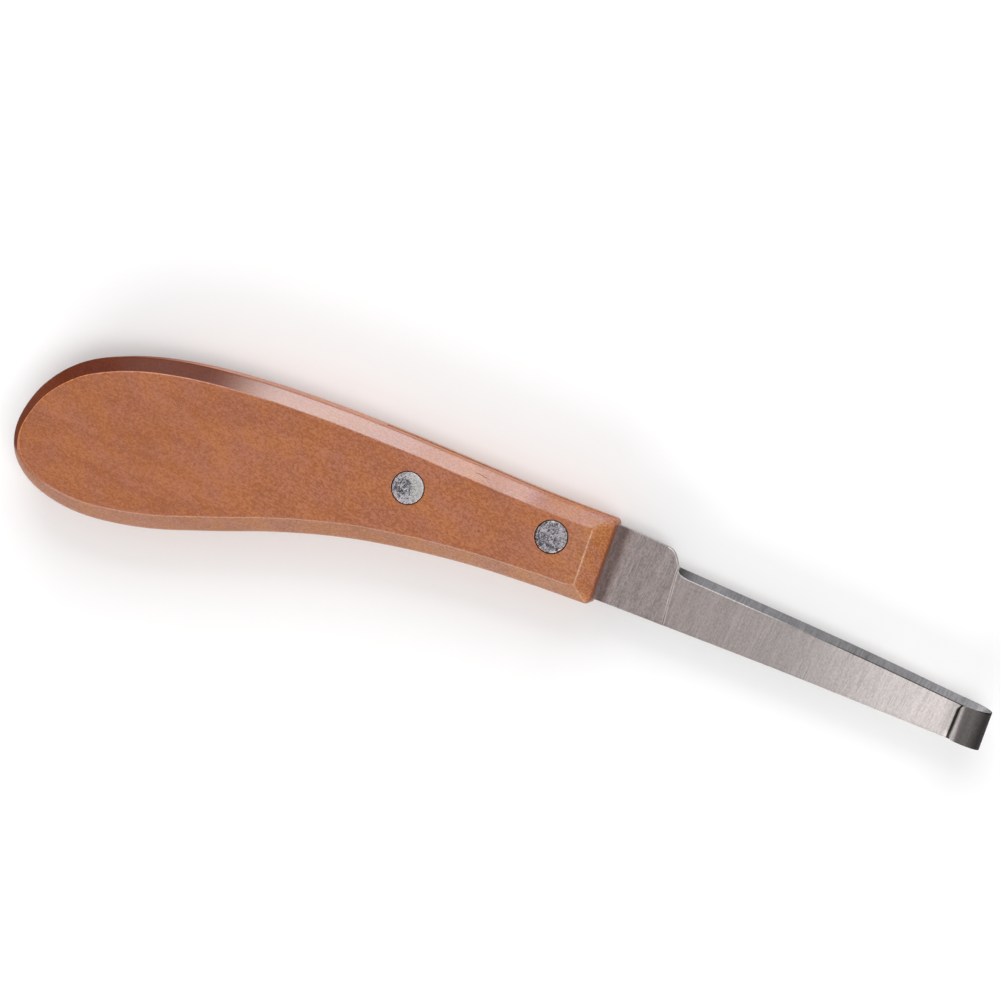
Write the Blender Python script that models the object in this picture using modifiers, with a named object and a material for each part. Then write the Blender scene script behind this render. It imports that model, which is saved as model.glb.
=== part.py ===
"""A hoof knife: a hooked steel blade riveted into a slotted wooden handle.

The knife lies on the back face of its handle. Metres, +Z up, +X along the blade towards its hooked
tip, +Y towards the sharpened edge. The sizes below are in millimetres, from the knife's datum: level
with the upper corner of the handle's front end, on the middle line of that end, at the height of the
back face. One empty carries every piece, and puts the origin at the bottom centre of the knife's box.
"""

import math

import bmesh
import bpy

MM = 0.001
GAP = 0.3                       # clearance between neighbouring pieces
MERGE = 0.0003                  # points nearer than this are one
SMOOTH_ANGLE = math.radians(25)

# Handle: one piece of wood, chamfered all round both faces.
THICKNESS = 15.0                # face to face
SIDE_CHAMFER = 3.4              # along the handle's long edges
BUTT_CHAMFER = 1.7              # where the outline faces straight back
BUTT_DIRECTION = math.radians(205)      # the way the butt faces, from +X
END_CHAMFER = 4.2               # length of the front end's bevel
END_LEAN = 0.7                  # how much further forward that end is at its lower corner
CORNER_RADIUS = 1.3             # of the front end's upright corners
CORNER_STEPS = 4
SPAN_STEPS = 4                  # points drawn for each span of the outline
OUTLINE = [                     # from the upper front corner, round the butt, to the lower front corner
    (0.0, 9.9), (-16.0, 9.6), (-34.0, 9.9), (-52.0, 10.2), (-70.0, 10.0), (-88.0, 9.0),
    (-104.0, 6.9), (-117.5, 3.2), (-127.4, -2.0), (-133.8, -9.5), (-136.6, -18.5), (-135.4, -25.9),
    (-130.7, -31.1), (-123.0, -34.0), (-113.0, -34.4), (-100.0, -31.9), (-86.0, -27.0),
    (-72.0, -21.6), (-58.0, -17.2), (-44.0, -14.2), (-28.0, -11.9), (-12.0, -10.7), (0.0, -10.2),
]

# Blade: one strip, made of the tang, the flat root, the sharpened length and the hook.
ROOT_THICKNESS = 2.2
BLADE_THICKNESS = 1.9           # past the ground step, which is on the front face only
EDGE_THICKNESS = 0.2            # left at the sharpened edge
TANG_LENGTH = 57.0
HOOK_START = 88.95              # end of the straight length
HOOK_RADIUS = 4.2               # to the outside of the bend
HOOK_TURN = math.radians(184)
HOOK_LEG = 2.5                  # straight length after the bend
HOOK_STEPS = 16
STRIP_LENGTH = HOOK_START + HOOK_RADIUS * HOOK_TURN + HOOK_LEG
CORNER_CUT = 1.2                # length of the free end over which its corners are taken off
LOWER_EDGE = [                  # distance along the strip from the datum, height
    (-TANG_LENGTH, -8.0), (-56.4, -10.0), (-55.0, -10.9), (0.0, -8.8), (20.0, -8.45),
    (50.0, -8.0), (86.0, -7.9), (97.0, -7.5), (STRIP_LENGTH - CORNER_CUT, -7.4), (STRIP_LENGTH, -7.0),
]
UPPER_EDGE = [                  # the tang and root, the step down, then the sharpened edge
    (-TANG_LENGTH, 3.4), (-56.4, 5.4), (-55.0, 6.3), (0.0, 8.9), (11.6, 8.5),
    (13.0, 8.35), (13.8, 8.0), (14.5, 7.4), (16.1, 5.1), (16.5, 5.0), (58.0, 3.5), (86.0, 1.9),
    (STRIP_LENGTH - CORNER_CUT, 0.8), (STRIP_LENGTH, 0.4),
]
BEVEL_WIDTH = [                 # of the bevel on the front face, from where the wheel ran in
    (16.1, 0.0), (16.4, 0.7), (16.9, 1.25), (17.7, 1.6), (19.2, 1.8), (86.0, 1.7), (STRIP_LENGTH, 1.5),
]
GROUND_STEP = [(16.3, ROOT_THICKNESS), (17.1, BLADE_THICKNESS)]

# Rivets: a stud pressed into a socket, their heads let into the two faces of the handle.
RIVETS = {"front_rivet": (-12.3, 1.3), "rear_rivet": (-46.6, -0.6)}
HEAD_RADIUS = 3.75
HEAD_THICKNESS = 1.5
HEAD_BEVEL = 0.3
HEAD_SINK = 0.05                # how far the heads lie below the wood
BARREL_RADIUS = 2.6
BARREL_END = 3.5                # height of the barrel's open end above the back face
SHANK_RADIUS = 1.6
SHANK_TIP = 11.7                # height of the stud's tip above the back face
TURNED_STEPS = 40

WOOD = ((0.46, 0.19, 0.075, 1.0), 0.0, 0.42)          # colour, metallic, roughness
STEEL = ((0.48, 0.46, 0.45, 1.0), 1.0, 0.34)
ALUMINIUM = ((0.62, 0.62, 0.64, 1.0), 1.0, 0.4)


def new_collection(name):
    """A collection linked to the scene."""
    collection = bpy.data.collections.new(name)
    bpy.context.scene.collection.children.link(collection)
    return collection


def new_material(name, look):
    """A Principled material from a colour, a metallic value and a roughness."""
    colour, metallic, roughness = look
    material = bpy.data.materials.new(name)
    material.use_nodes = True
    shader = material.node_tree.nodes["Principled BSDF"]
    shader.inputs["Base Color"].default_value = colour
    shader.inputs["Metallic"].default_value = metallic
    shader.inputs["Roughness"].default_value = roughness
    return material


def add_object(name, bm, collection, parent):
    """Turn a bmesh in millimetres into an object in metres."""
    bmesh.ops.scale(bm, vec=(MM, MM, MM), verts=bm.verts)
    mesh = bpy.data.meshes.new(name)
    bm.to_mesh(mesh)
    bm.free()
    obj = bpy.data.objects.new(name, mesh)
    obj.parent = parent
    collection.objects.link(obj)
    return obj


def shade_round(mesh):
    """Shade the round surfaces smooth and keep the edges between flat ones sharp."""
    mesh.shade_smooth()
    mesh.set_sharp_from_angle(angle=SMOOTH_ANGLE)


def mark_cutter(obj):
    """Make an object one that only shapes others."""
    obj.hide_render = True
    obj.display_type = "WIRE"


def cut(obj, cutter):
    """Take a cutter away from an object."""
    boolean = obj.modifiers.new("cut_" + cutter.name, "BOOLEAN")
    boolean.operation = "DIFFERENCE"
    boolean.object = cutter


def loft(rings):
    """A closed body through rings of equally many points, with its first and last ring capped."""
    bm = bmesh.new()
    loops = [[bm.verts.new(point) for point in ring] for ring in rings]
    for lower, upper in zip(loops, loops[1:]):
        for i in range(len(lower)):
            bm.faces.new((lower[i - 1], lower[i], upper[i], upper[i - 1]))
    bm.faces.new(loops[0])
    bm.faces.new(loops[-1])
    bmesh.ops.remove_doubles(bm, verts=bm.verts, dist=MERGE)
    bmesh.ops.recalc_face_normals(bm, faces=bm.faces)
    return bm


def turned(name, profile, collection, parent):
    """A profile of (radius, height), outer side from top to bottom, turned about Z."""
    bm = bmesh.new()
    verts = [bm.verts.new((radius, 0.0, height)) for radius, height in profile]
    for upper, lower in zip(verts, verts[1:]):
        bm.edges.new((upper, lower))
    obj = add_object(name, bm, collection, parent)
    screw = obj.modifiers.new("turn", "SCREW")
    screw.steps = TURNED_STEPS
    screw.render_steps = TURNED_STEPS
    screw.use_merge_vertices = True
    screw.merge_threshold = MERGE * MM
    return obj


def apply_modifiers(obj):
    """Give an object the mesh that its modifiers make."""
    evaluated = obj.evaluated_get(bpy.context.evaluated_depsgraph_get())
    obj.data = bpy.data.meshes.new_from_object(evaluated)
    obj.modifiers.clear()


def spline_through(points, steps):
    """A smooth open curve (Catmull-Rom) through the points, with this many steps a span."""
    before_first = [2 * a - b for a, b in zip(points[0], points[1])]
    after_last = [2 * a - b for a, b in zip(points[-1], points[-2])]
    guides = [before_first, *points, after_last]
    curve = []
    for span in zip(guides, guides[1:], guides[2:], guides[3:]):
        for step in range(steps):
            t = step / steps
            weights = (
                (-t + 2 * t ** 2 - t ** 3) / 2,
                (2 - 5 * t ** 2 + 3 * t ** 3) / 2,
                (t + 4 * t ** 2 - 3 * t ** 3) / 2,
                (t ** 3 - t ** 2) / 2,
            )
            curve.append(tuple(sum(w * p[axis] for w, p in zip(weights, span)) for axis in (0, 1)))
    curve.append(points[-1])
    return curve


def read(table, at):
    """The value of a (distance, value) table at a distance, straight between its rows."""
    if at <= table[0][0]:
        return table[0][1]
    for (start, first), (end, last) in zip(table, table[1:]):
        if at <= end:
            return first + (last - first) * (at - start) / (end - start)
    return table[-1][1]


def chamfer_width(facing):
    """Width of the handle's chamfer where its outline faces this way."""
    backwards = max(0.0, math.cos(facing - BUTT_DIRECTION))
    return SIDE_CHAMFER - (SIDE_CHAMFER - BUTT_CHAMFER) * backwards ** 2


def side_stations():
    """(outline point, face point, chamfer width) along the handle's sides and round its butt."""
    curve = spline_through(OUTLINE, SPAN_STEPS)
    stations = []
    for before, point, after in zip(curve, curve[1:], curve[2:]):
        if point[0] > -END_CHAMFER - CORNER_RADIUS:
            continue
        facing = math.atan2(before[0] - after[0], after[1] - before[1])
        width = chamfer_width(facing)
        inner = (point[0] - width * math.cos(facing), point[1] - width * math.sin(facing))
        stations.append((point, inner, width))
    return stations


def end_shift(y):
    """How far forward the slanting cut across the front end is here, from its upper corner."""
    upper, lower = OUTLINE[0][1], OUTLINE[-1][1]
    return END_LEAN * (upper - y) / (upper - lower)


def corner_stations(corner_y, side):
    """Stations round a front corner, from the handle's side (+1 upper, -1 lower) to its end.

    The rounded corner is on the outline only: on the face it comes down to one point.
    """
    inner_y = corner_y - side * SIDE_CHAMFER
    inner = (end_shift(inner_y) - END_CHAMFER, inner_y)
    stations = []
    for step in range(CORNER_STEPS + 1):
        angle = math.pi / 2 * step / CORNER_STEPS
        y = corner_y + side * CORNER_RADIUS * (math.cos(angle) - 1)
        x = end_shift(y) + CORNER_RADIUS * (math.sin(angle) - 1)
        stations.append(((x, y), inner, SIDE_CHAMFER))
    return stations


def handle_stations():
    """All stations round the handle, anticlockwise from its lower front corner."""
    lower = corner_stations(OUTLINE[-1][1], -1)
    upper = corner_stations(OUTLINE[0][1], 1)
    return lower + upper[::-1] + side_stations()


def make_handle(stations, collection, parent):
    """The handle's block: its back face, the two edges of its side wall, and its front face."""
    rings = [
        [(*inner, 0.0) for outer, inner, width in stations],
        [(*outer, width) for outer, inner, width in stations],
        [(*outer, THICKNESS - width) for outer, inner, width in stations],
        [(*inner, THICKNESS) for outer, inner, width in stations],
    ]
    handle = add_object("handle", loft(rings), collection, parent)
    shade_round(handle.data)
    return handle


def make_kerf(collection, parent):
    """The saw cut that takes the tang: in from the front end, through the handle's whole height."""
    length = TANG_LENGTH + GAP
    height = THICKNESS * 2
    bm = bmesh.new()
    bmesh.ops.create_cube(bm, size=1)
    bmesh.ops.scale(bm, vec=(2 * length, height, ROOT_THICKNESS + 2 * GAP), verts=bm.verts)
    bmesh.ops.translate(bm, vec=(0, 0, THICKNESS / 2), verts=bm.verts)
    kerf = add_object("kerf", bm, collection, parent)
    mark_cutter(kerf)
    return kerf


def strip_point(along, height, depth):
    """A point of the blade: distance along it, height across it, depth in from its back face."""
    base = (THICKNESS - ROOT_THICKNESS) / 2
    if along <= HOOK_START:
        return along, height, base + depth
    turn = min((along - HOOK_START) / HOOK_RADIUS, HOOK_TURN)
    leg = along - HOOK_START - HOOK_RADIUS * turn
    radius = HOOK_RADIUS - depth
    x = HOOK_START + radius * math.sin(turn) + leg * math.cos(turn)
    z = base + HOOK_RADIUS - radius * math.cos(turn) + leg * math.sin(turn)
    return x, height, z


def make_blade(collection, parent):
    """The blade: a section at every change along the strip and at every step round the hook."""
    stops = {at for table in (LOWER_EDGE, UPPER_EDGE, BEVEL_WIDTH, GROUND_STEP) for at, value in table}
    bend = HOOK_RADIUS * HOOK_TURN
    stops.update(HOOK_START + bend * step / HOOK_STEPS for step in range(HOOK_STEPS + 1))
    rings = []
    for along in sorted(stops):
        low = read(LOWER_EDGE, along)
        high = read(UPPER_EDGE, along)
        shoulder = high - read(BEVEL_WIDTH, along)
        thickness = read(GROUND_STEP, along)
        section = (
            (low, 0.0), (high, 0.0), (high, EDGE_THICKNESS), (shoulder, thickness), (low, thickness))
        rings.append([strip_point(along, height, depth) for height, depth in section])
    blade = add_object("blade", loft(rings), collection, parent)
    shade_round(blade.data)
    return blade


def rivet_hole_profile():
    """The hole for a rivet: clear of the barrel, and wider at both faces for the heads."""
    counterbore = HEAD_RADIUS + GAP
    bore = BARREL_RADIUS + GAP
    depth = HEAD_SINK + HEAD_THICKNESS + GAP
    beyond = 1.0
    return [
        (0.0, THICKNESS + beyond), (counterbore, THICKNESS + beyond), (counterbore, THICKNESS - depth),
        (bore, THICKNESS - depth), (bore, depth), (counterbore, depth), (counterbore, -beyond),
        (0.0, -beyond),
    ]


def socket_profile():
    """The socket half: its head in the front face, its barrel open towards the back."""
    top = THICKNESS - HEAD_SINK
    under = top - HEAD_THICKNESS
    bore = SHANK_RADIUS + GAP
    return [
        (0.0, top), (HEAD_RADIUS - HEAD_BEVEL, top), (HEAD_RADIUS, top - HEAD_BEVEL),
        (HEAD_RADIUS, under), (BARREL_RADIUS, under), (BARREL_RADIUS, BARREL_END),
        (bore, BARREL_END), (bore, SHANK_TIP + GAP), (0.0, SHANK_TIP + GAP),
    ]


def stud_profile():
    """The stud half: its head in the back face, its shank up inside the barrel."""
    bottom = HEAD_SINK
    under = bottom + HEAD_THICKNESS
    return [
        (0.0, SHANK_TIP), (SHANK_RADIUS - HEAD_BEVEL, SHANK_TIP), (SHANK_RADIUS, SHANK_TIP - HEAD_BEVEL),
        (SHANK_RADIUS, under), (HEAD_RADIUS, under), (HEAD_RADIUS, bottom + HEAD_BEVEL),
        (HEAD_RADIUS - HEAD_BEVEL, bottom), (0.0, bottom),
    ]


def make_turned_piece(name, profile, place, collection, parent):
    """A turned rivet half, standing at its place in the handle."""
    piece = turned(name, profile, collection, parent)
    apply_modifiers(piece)
    shade_round(piece.data)
    piece.location = (place[0] * MM, place[1] * MM, 0)
    return piece


def make_rivet(name, place, collection, parent):
    """The two halves of a rivet."""
    for half, profile in (("stud", stud_profile()), ("socket", socket_profile())):
        piece = make_turned_piece(f"{name}_{half}", profile, place, collection, parent)
        piece.data.materials.append(new_material(piece.name, ALUMINIUM))


def make_rivet_hole(name, place, collection, parent):
    """The cutter for a rivet's hole, which goes through the handle and the tang."""
    hole = turned(f"{name}_hole", rivet_hole_profile(), collection, parent)
    hole.location = (place[0] * MM, place[1] * MM, 0)
    mark_cutter(hole)
    return hole


def make_datum(stations, collection):
    """The empty at the handle's front end, placed so that the knife's box is centred on the origin."""
    outline = [outer for outer, inner, width in stations]
    butt = min(x for x, y in outline)
    lowest = min(y for x, y in outline)
    highest = max(y for x, y in outline)
    datum = bpy.data.objects.new("datum", None)
    datum.location = (
        -(butt + HOOK_START + HOOK_RADIUS) / 2 * MM, -(lowest + highest) / 2 * MM, 0)
    collection.objects.link(datum)
    return datum


def main():
    for obj in list(bpy.data.objects):
        bpy.data.objects.remove(obj, do_unlink=True)
    parts = new_collection("hoof_knife")
    cutters = new_collection("cutters")
    stations = handle_stations()
    datum = make_datum(stations, parts)

    handle = make_handle(stations, parts, datum)
    handle.data.materials.append(new_material("handle", WOOD))
    blade = make_blade(parts, datum)
    blade.data.materials.append(new_material("blade", STEEL))

    cut(handle, make_kerf(cutters, datum))
    for name, place in RIVETS.items():
        hole = make_rivet_hole(name, place, cutters, datum)
        cut(handle, hole)
        cut(blade, hole)
        make_rivet(name, place, parts, datum)


main()
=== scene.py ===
"""The hoof knife's looks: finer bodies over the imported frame, procedural materials, light and camera.

Shapes are drawn in millimetres from the knife's datum: level with the upper corner of the handle's front
end, on the middle line of that end, at the height of the back face. +X points towards the hook and +Y
towards the sharpened edge.
"""

import math

import bpy
from mathutils import Matrix, Vector, noise


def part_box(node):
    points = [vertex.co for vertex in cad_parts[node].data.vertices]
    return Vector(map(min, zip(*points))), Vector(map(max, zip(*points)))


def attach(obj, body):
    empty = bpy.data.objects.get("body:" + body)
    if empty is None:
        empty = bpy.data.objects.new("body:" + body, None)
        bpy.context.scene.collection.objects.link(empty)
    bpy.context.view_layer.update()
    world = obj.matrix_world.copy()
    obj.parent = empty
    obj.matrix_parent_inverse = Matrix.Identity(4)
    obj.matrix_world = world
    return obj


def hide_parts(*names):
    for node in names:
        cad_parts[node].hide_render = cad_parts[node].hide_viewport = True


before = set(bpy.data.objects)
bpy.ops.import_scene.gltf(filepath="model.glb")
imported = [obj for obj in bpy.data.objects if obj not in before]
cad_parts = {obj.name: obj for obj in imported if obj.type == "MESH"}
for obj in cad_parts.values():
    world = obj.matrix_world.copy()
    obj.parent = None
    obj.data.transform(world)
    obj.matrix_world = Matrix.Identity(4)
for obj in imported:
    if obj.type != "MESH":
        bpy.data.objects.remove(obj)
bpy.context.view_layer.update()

MM = 0.001
GAP = 0.3                       # round a rivet's barrel, under its heads and round its shank
KERF_GAP = 0.15                 # between the tang and the wood on each side of it
HEAD_GAP = 0.1                  # round a rivet's head

# Handle
THICKNESS = 15.0
SIDE_CHAMFER = 3.4              # along the long edges
BUTT_CHAMFER = 1.7              # where the outline faces BUTT_DIRECTION
BUTT_DIRECTION = math.radians(205)
CHAMFER_WAVE = 0.09             # how unevenly the chamfers were ground
WAVE_LENGTH = 7.0
END_CHAMFER = 4.2               # length of the front end's bevel
END_LEAN = 0.7                  # how much further forward the front end is at its lower corner
CORNER_RADIUS = 1.3             # of the front end's upright corners, on the outline
INNER_CORNER_RADIUS = 0.6       # and on the face
CORNER_STEPS = 8
SPAN_STEPS = 10
FACE_EDGE = 0.22                # how far the rounding between face and chamfer reaches
WALL_EDGE = 0.5                 # and that between chamfer and side wall
WORN_EDGE = 1.0                 # both, where the outline faces WORN_DIRECTION
WORN_DIRECTION = math.radians(235)
END_WEAR = 0.35                 # a share of that, across the front end
EDGE_STEPS = 4
FACE_RUN = 3.0                  # how much of each face leads into a section's path
KERF_LENGTH = 57.3
CRACK = (-34.1, 8.05, 12.85), (-30.0, 7.6, 13.3)    # the small split in the upper chamfer, end to end
CRACK_HALF_WIDTH = 0.09
OUTLINE = [
    (0.0, 9.9), (-16.0, 9.6), (-34.0, 9.9), (-52.0, 10.2), (-70.0, 10.0), (-88.0, 9.0),
    (-104.0, 6.9), (-117.5, 3.2), (-127.4, -2.0), (-133.8, -9.5), (-136.6, -18.5), (-135.4, -25.9),
    (-130.7, -31.1), (-123.0, -34.0), (-113.0, -34.4), (-100.0, -31.9), (-86.0, -27.0),
    (-72.0, -21.6), (-58.0, -17.2), (-44.0, -14.2), (-28.0, -11.9), (-12.0, -10.7), (0.0, -10.2),
]

# Blade
BLADE_BACK = 6.4                # height of its back face above the handle's
ROOT_THICKNESS = 2.2
BLADE_THICKNESS = 1.9
EDGE_THICKNESS = 0.2
TANG_END = -57.0
HOOK_START = 88.95
HOOK_RADIUS = 4.2
HOOK_TURN = math.radians(184)
HOOK_LEG = 2.45
HOOK_FLARE = 0.006              # the hook is rolled wider towards its lower side, by this much a millimetre
HOOK_MIDDLE = -3.5              # the height at which it has HOOK_RADIUS
HOOK_END = HOOK_START + HOOK_RADIUS * HOOK_TURN
STRIP_LENGTH = HOOK_END + HOOK_LEG
LOWER_EDGE = [
    (TANG_END, -8.0), (TANG_END + 0.6, -10.0), (TANG_END + 2.0, -10.9), (0.0, -8.8), (20.0, -8.45),
    (50.0, -8.0), (86.0, -7.9), (97.0, -7.5), (STRIP_LENGTH, -7.4),
]
UPPER_EDGE = [
    (TANG_END, 3.4), (TANG_END + 0.6, 5.4), (TANG_END + 2.0, 6.3), (0.0, 8.9), (11.6, 8.5), (12.4, 8.43),
    (13.0, 8.33), (13.5, 8.14), (14.0, 7.83), (14.5, 7.36), (15.0, 6.72), (15.5, 5.98), (15.85, 5.45),
    (16.1, 5.18), (16.35, 5.04), (16.7, 4.99), (20.0, 4.87), (58.0, 3.5), (86.0, 1.9),
    (STRIP_LENGTH, 0.8),
]
BEVEL_WIDTH = [
    (15.7, 0.0), (16.1, 0.5), (16.4, 0.95), (16.9, 1.3), (17.4, 1.52), (18.2, 1.7), (19.2, 1.8),
    (50.0, 1.75), (86.0, 1.7), (STRIP_LENGTH, 1.5),
]
STEP_TOP = (15.87, 5.0)         # the ground step leans back: where it starts at the sharpened side
STEP_LEAN = -0.105              # and how far it moves forward for each millimetre down the blade
STEP_RUN = 0.3                  # the length over which it comes down
SHOULDER_START = 12.2           # where the upper edge starts to curve down to the sharpened length
BEVEL_START = 16.35             # where the bevel's own metal starts
END_ROUNDING = 0.3              # of the free end's rims
CORNERS = (1.0, 1.1)            # radii of the free end's lower and upper corner
# How far the rounding before each surface of the section reaches
ROUNDINGS = {"back": 0.2, "edge": 0.1, "bevel": 0.05, "front": 0.14, "side": 0.22}
SHOULDER_BURR = 0.06            # added before the front, round the shoulder
ROUNDING_STEPS = 3
FRONT_SPANS = 26                # in the section's front face
UNROLLED = 100.0                # millimetres of strip to one unit of the map that lays it out flat

# Rivets
RIVETS = {"front_rivet": (-12.3, 1.3), "rear_rivet": (-46.6, -0.6)}
HEAD_RADIUS = 3.75
HEAD_THICKNESS = 1.5
HEAD_SINK = 0.05
BARREL_RADIUS = 2.6
BARREL_END = 3.5                # height of the barrel's open end
SHANK_RADIUS = 1.6
SHANK_TIP = 11.7                # and of the shank's tip
HOLE_EASE = 0.16                # how far the rim of a rivet's hole is worn back
TURNED_STEPS = 96
RUBBED = {"front_rivet": 0.1, "rear_rivet": 0.8}    # how much one side is polished
STRUCK = {"front_rivet": (-0.9, -0.3), "rear_rivet": (-1.0, -0.2)}  # hardest hit, from the middle
PALE_RING = {"front_rivet": 0.1, "rear_rivet": 0.32}                # how much paler it is round there

# Materials
WHITE = (1.0, 1.0, 1.0)
WOOD_TONES = (0.285, 0.070, 0.010), (0.425, 0.139, 0.055)
# the tint of the painted shade over the butt's end and the rear of the upper chamfer
BUTT_SHADE_TINT = (0.40, 0.27, 0.21)
STEEL_TONES = (0.352, 0.299, 0.290), (0.350, 0.320, 0.312)
BEVEL_STEEL = (0.152, 0.148, 0.153)
RIDGE_STEEL = (0.5, 0.48, 0.475)
RIVET_TONES = (0.045, 0.04, 0.052), (0.50, 0.475, 0.50)
POLISHED_RIVET = (0.48, 0.465, 0.455)
FLOOR_PAINT = (0.96, 0.96, 0.96)

# Studio, in metres from the row's origin
WORLD_LIGHT = 0.62
LIGHTS = {                      # place, size, power
    "key": ((-0.2, 1.1, 0.95), (1.4, 0.7), 7),
    "side": ((-0.32, 0.72, 0.10), (0.5, 0.2), 2.8),
    "overhead": ((0.62, -0.12, 1.42), (0.5, 0.9), 6.8),
    "fill": ((-0.1, -1.2, 0.6), (1.2, 0.6), 7.5),
}
LIGHTS_AIM = (-20.0, 0.0, 10.0)                 # in millimetres from the datum
PICTURE_MIDDLE = (-27.03, 3.86, THICKNESS / 2)  # the same
LENS = 170.8
CAMERA_DISTANCE = 1.07
CAMERA_DIRECTION = (0.145, 0.101, 0.984)
TIP_DOWN = math.radians(22)     # how far the knife's tip points below the level in the picture


def end_shift(y):
    """How far forward the slanting cut across the front end is here, from its upper corner."""
    upper, lower = OUTLINE[0][1], OUTLINE[-1][1]
    return END_LEAN * (upper - y) / (upper - lower)


handle_low, handle_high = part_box("handle")
rivet_low, rivet_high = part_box("front_rivet_socket")
DATUM = Vector((
    handle_high.x / MM - end_shift(OUTLINE[-1][1] + CORNER_RADIUS),
    (rivet_low.y + rivet_high.y) / 2 / MM - RIVETS["front_rivet"][1],
    handle_low.z / MM,
))


# ---------------------------------------------------------------- shapes

def read_smooth(table, at):
    """The value of a (distance, value) table at a distance, on a cubic curve through its rows."""
    at = min(max(at, table[0][0]), table[-1][0])
    slopes = [(b[1] - a[1]) / (b[0] - a[0]) for a, b in zip(table, table[1:])]
    leans = [slopes[0]]
    for before, after in zip(slopes, slopes[1:]):
        leans.append(0.0 if before * after <= 0 else 2 * before * after / (before + after))
    leans.append(slopes[-1])
    for i, ((start, first), (end, last)) in enumerate(zip(table, table[1:])):
        if at <= end:
            span = end - start
            t = (at - start) / span
            return (
                first * (2 * t ** 3 - 3 * t ** 2 + 1) + last * (3 * t ** 2 - 2 * t ** 3)
                + leans[i] * span * (t ** 3 - 2 * t ** 2 + t) + leans[i + 1] * span * (t ** 3 - t ** 2))
    return table[-1][1]


def ease(value, start, end):
    """0 up to start, 1 from end, smooth between."""
    t = min(max((value - start) / (end - start), 0.0), 1.0)
    return t * t * (3 - 2 * t)


def spline_through(points, steps):
    """A smooth open curve (Catmull-Rom) through the points, with this many steps a span."""
    before_first = [2 * a - b for a, b in zip(points[0], points[1])]
    after_last = [2 * a - b for a, b in zip(points[-1], points[-2])]
    guides = [before_first, *points, after_last]
    curve = []
    for span in zip(guides, guides[1:], guides[2:], guides[3:]):
        for step in range(steps):
            t = step / steps
            weights = (
                (-t + 2 * t ** 2 - t ** 3) / 2,
                (2 - 5 * t ** 2 + 3 * t ** 3) / 2,
                (t + 4 * t ** 2 - 3 * t ** 3) / 2,
                (t ** 3 - t ** 2) / 2,
            )
            curve.append(tuple(sum(w * p[axis] for w, p in zip(weights, span)) for axis in (0, 1)))
    curve.append(points[-1])
    return curve


def rounded(before, corner, after, reach, steps):
    """Points of a rounding at a corner, from this far before it to as far after it."""
    before, corner, after = Vector(before), Vector(corner), Vector(after)
    start = corner + (before - corner).normalized() * min(reach, (before - corner).length * 0.45)
    end = corner + (after - corner).normalized() * min(reach, (after - corner).length * 0.45)
    points = []
    for step in range(steps + 1):
        t = step / steps
        points.append(start * (1 - t) ** 2 + corner * 2 * t * (1 - t) + end * t ** 2)
    return points


def new_object(name, verts, faces):
    """An object in the row frame from points in millimetres from the datum."""
    mesh = bpy.data.meshes.new(name)
    mesh.from_pydata([tuple((Vector(v) + DATUM) * MM) for v in verts], [], faces)
    obj = bpy.data.objects.new(name, mesh)
    bpy.context.scene.collection.objects.link(obj)
    return obj


def loft(name, rings, closed):
    """A body through rings of equally many points. Closed: the rings close on themselves round the body."""
    count = len(rings[0])
    verts = [point for ring in rings for point in ring]
    faces = []
    ends = [(i, (i + 1) % len(rings)) for i in range(len(rings) if closed else len(rings) - 1)]
    sides = count - 1 if closed else count
    for first, second in ends:
        for i in range(sides):
            j = (i + 1) % count
            faces.append((first * count + i, first * count + j, second * count + j, second * count + i))
    if closed:
        faces.append([r * count for r in range(len(rings))])
        faces.append([r * count + count - 1 for r in range(len(rings))][::-1])
    else:
        faces.append(list(range(count))[::-1])
        faces.append([(len(rings) - 1) * count + i for i in range(count)])
    return new_object(name, verts, faces)


def lathe(name, profile, place, relief=None):
    """A profile of (radius, height) turned about Z at a place, with its ends on the axis."""
    verts, loops = [], []
    for radius, height in profile:
        if radius == 0.0:
            lift = relief(0.0, 0.0, height) if relief else 0.0
            loops.append([len(verts)] * TURNED_STEPS)
            verts.append((*place, height + lift))
            continue
        loops.append(list(range(len(verts), len(verts) + TURNED_STEPS)))
        for step in range(TURNED_STEPS):
            turn = math.tau * step / TURNED_STEPS
            x, y = radius * math.cos(turn), radius * math.sin(turn)
            lift = relief(x, y, height) if relief else 0.0
            verts.append((place[0] + x, place[1] + y, height + lift))
    faces = []
    for upper, lower in zip(loops, loops[1:]):
        for i in range(TURNED_STEPS):
            j = (i + 1) % TURNED_STEPS
            face = (upper[i], lower[i], lower[j], upper[j])
            faces.append(list(dict.fromkeys(face)))
    return new_object(name, verts, faces)


def cut(obj, cutters):
    """Take cutters away from an object for good, and remove them."""
    for cutter in cutters:
        boolean = obj.modifiers.new("cut", "BOOLEAN")
        boolean.operation = "DIFFERENCE"
        boolean.solver = "EXACT"
        boolean.object = cutter
    evaluated = obj.evaluated_get(bpy.context.evaluated_depsgraph_get())
    obj.data = bpy.data.meshes.new_from_object(evaluated)
    obj.modifiers.clear()
    for cutter in cutters:
        bpy.data.objects.remove(cutter, do_unlink=True)


def shade(obj, sharp_angle):
    """Smooth shading that leaves large flat faces flat and edges over this angle sharp."""
    obj.data.shade_smooth()
    obj.data.set_sharp_from_angle(angle=math.radians(sharp_angle))
    weighted = obj.modifiers.new("weighted_normals", "WEIGHTED_NORMAL")
    weighted.keep_sharp = True
    evaluated = obj.evaluated_get(bpy.context.evaluated_depsgraph_get())
    obj.data = bpy.data.meshes.new_from_object(evaluated)
    obj.modifiers.clear()


# ---------------------------------------------------------------- handle

def wobble(x, y, size, seed):
    """A smooth random value from -1 to 1 that changes over about this many millimetres."""
    return noise.noise((x / size, y / size, seed))


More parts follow.
